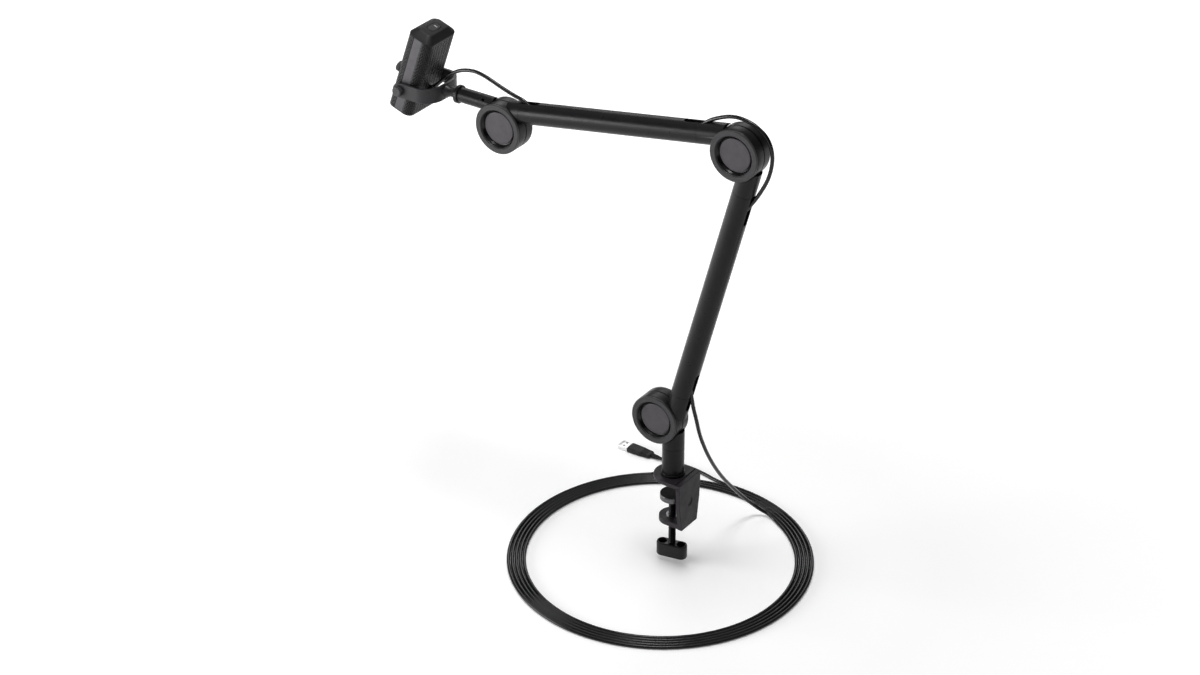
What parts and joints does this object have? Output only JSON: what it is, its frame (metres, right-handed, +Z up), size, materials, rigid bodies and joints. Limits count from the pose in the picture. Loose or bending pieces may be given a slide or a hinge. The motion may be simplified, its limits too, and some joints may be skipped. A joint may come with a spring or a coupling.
{
  "type": "condenser microphone",
  "caption": "Side-address microphone in a tilting yoke on a folding boom arm, with a screw desk clamp and a USB lead coiled below it.",
  "frame": {"origin": "on the post axis at the underside of the clamp's upper jaw pad, where it rests on a desk", "axes": "+Z up along the post, the arm folds in the XZ plane and holds the microphone out towards -X, the pivot covers face -Y"},
  "size_m": [0.5021, 0.3342, 0.5453],
  "materials": {
    "arm_paint": "matte black powder coat",
    "hub_plastic": "fine matte black moulding",
    "cover_plastic": "satin dark grey moulding",
    "clamp_paint": "matte black powder coat",
    "bare_steel": "bright zinc",
    "spring_steel": "oiled",
    "black_steel": "black oxide",
    "handle_plastic": "matte moulding",
    "pad_rubber": "matte",
    "yoke_paint": "satin black",
    "grille_paint": "matte black perforated steel",
    "mic_frame_paint": "satin dark grey",
    "cap_plastic": "soft matte",
    "button_plastic": "satin",
    "light_lens": "diffuse white",
    "brass": "machined",
    "capsule_gold": "gold-sputtered film in a brass ring",
    "capsule_rubber": "matte",
    "circuit_green": "solder mask",
    "lead_jacket": "satin black jacket",
    "plug_moulding": "satin moulding",
    "plug_metal": "nickel plated"
  },
  "bodies": {
    "clamp": {"clamp_bracket": "clamp_paint", "jaw_pad": "pad_rubber", "clamp_nut": "bare_steel", "swivel_spindle": "bare_steel", "drop_lead_lower": "lead_jacket", "lead_coil": "lead_jacket", "lead_tail": "lead_jacket", "plug_body": "plug_moulding", "plug_shell": "plug_metal"},
    "pad": {"pressure_pad": "bare_steel", "pad_rubber": "pad_rubber"},
    "screw": {"clamp_screw": "black_steel", "t_handle": "handle_plastic"},
    "post": {"post_bush": "handle_plastic", "post_tube": "arm_paint", "shoulder_rear_hub": "hub_plastic", "shoulder_bolt": "bare_steel", "shoulder_nut": "bare_steel", "shoulder_washers": "spring_steel"},
    "lower_arm": {"shoulder_front_hub": "hub_plastic", "shoulder_cap": "cover_plastic", "lower_tube": "arm_paint", "lower_lead_run": "lead_jacket", "elbow_rear_hub": "hub_plastic", "elbow_bolt": "bare_steel", "elbow_nut": "bare_steel", "elbow_washers": "spring_steel", "drop_lead_upper": "lead_jacket"},
    "upper_arm": {"elbow_front_hub": "hub_plastic", "elbow_cap": "cover_plastic", "upper_tube": "arm_paint", "upper_lead_run": "lead_jacket", "wrist_rear_hub": "hub_plastic", "wrist_bolt": "bare_steel", "wrist_nut": "bare_steel", "wrist_washers": "spring_steel", "elbow_lead": "lead_jacket", "wrist_lead": "lead_jacket"},
    "wrist": {"wrist_front_hub": "hub_plastic", "wrist_cap": "cover_plastic", "wrist_tube": "arm_paint", "thread_insert": "brass"},
    "collar": {"lock_collar": "handle_plastic"},
    "yoke": {"yoke_frame": "yoke_paint", "yoke_stud": "bare_steel"},
    "left_screw": {"left_thumbscrew": "black_steel"},
    "right_screw": {"right_thumbscrew": "black_steel"},
    "mic": {"mic_frame": "mic_frame_paint", "front_grille": "grille_paint", "rear_grille": "grille_paint", "top_cap": "cap_plastic", "bottom_cap": "cap_plastic", "capsule": "capsule_gold", "capsule_mount": "capsule_rubber", "circuit_board": "circuit_green", "pivot_inserts": "brass", "lead_gland": "lead_jacket"},
    "gain_knob": {"gain_knob": "handle_plastic"},
    "mute_button": {"mute_button": "button_plastic", "status_light": "light_lens"}
  },
  "joints": [
    {"name": "base_swivel", "type": "hinge", "parent": "clamp", "child": "post", "pos_m": [0, 0, 0], "axis": [0, 0, 1], "range_deg": [-170, 170], "deforming": ["drop_lead_lower"]},
    {"name": "shoulder", "type": "hinge", "parent": "post", "child": "lower_arm", "pos_m": [-0.016, 0, 0.0715], "axis": [0, 1, 0], "range_deg": [-100, 20], "deforming": ["drop_lead_upper"]},
    {"name": "elbow", "type": "hinge", "parent": "lower_arm", "child": "upper_arm", "pos_m": [0.07252, 0, 0.40185], "axis": [0, -1, 0], "range_deg": [-115, 57], "deforming": ["elbow_lead"]},
    {"name": "wrist_pitch", "type": "hinge", "parent": "upper_arm", "child": "wrist", "pos_m": [-0.21111, 0, 0.35184], "axis": [0, 1, 0], "range_deg": [-110, 30], "deforming": ["wrist_lead"]},
    {"name": "yoke_swivel", "type": "hinge", "parent": "wrist", "child": "yoke", "pos_m": [-0.27071, 0, 0.37114], "axis": [-1, 0, 0], "range_deg": [-90, 90], "deforming": ["wrist_lead"]},
    {"name": "mic_tilt", "type": "hinge", "parent": "yoke", "child": "mic", "pos_m": [-0.32511, 0, 0.37114], "axis": [0, 1, 0], "range_deg": [-64, 26], "deforming": ["wrist_lead"]},
    {"name": "collar_turn", "type": "hinge", "parent": "yoke", "child": "collar", "pos_m": [-0.27071, 0, 0.37114], "axis": [-1, 0, 0], "range_deg": [0, 90]},
    {"name": "left_thumbscrew_turn", "type": "hinge", "parent": "yoke", "child": "left_screw", "pos_m": [-0.32511, -0.03, 0.37114], "axis": [0, -1, 0], "range_deg": [0, 180]},
    {"name": "right_thumbscrew_turn", "type": "hinge", "parent": "yoke", "child": "right_screw", "pos_m": [-0.32511, 0.03, 0.37114], "axis": [0, 1, 0], "range_deg": [0, 180]},
    {"name": "gain_knob_turn", "type": "hinge", "parent": "mic", "child": "gain_knob", "pos_m": [-0.33204, -0.013, 0.38939], "axis": [-0.9455, 0, 0.3256], "range_deg": [-135, 135]},
    {"name": "mute_press", "type": "slide", "parent": "mic", "child": "mute_button", "axis": [-0.3256, 0, -0.9455], "range_m": [0, 0.0012], "stiffness_N_per_m": 400, "springref_m": -0.0006},
    {"name": "pad_slide", "type": "slide", "parent": "clamp", "child": "pad", "axis": [0, 0, 1], "range_m": [-0.015, 0.018]},
    {"name": "screw_spin", "type": "hinge", "parent": "pad", "child": "screw", "pos_m": [0, 0, -0.0215], "axis": [0, 0, 1], "range_deg": [-4380, 5240]}
  ],
  "couplings": [
    {"joint": "screw_spin", "follows": "pad_slide", "rad_per_m": 5026.5}
  ]
}
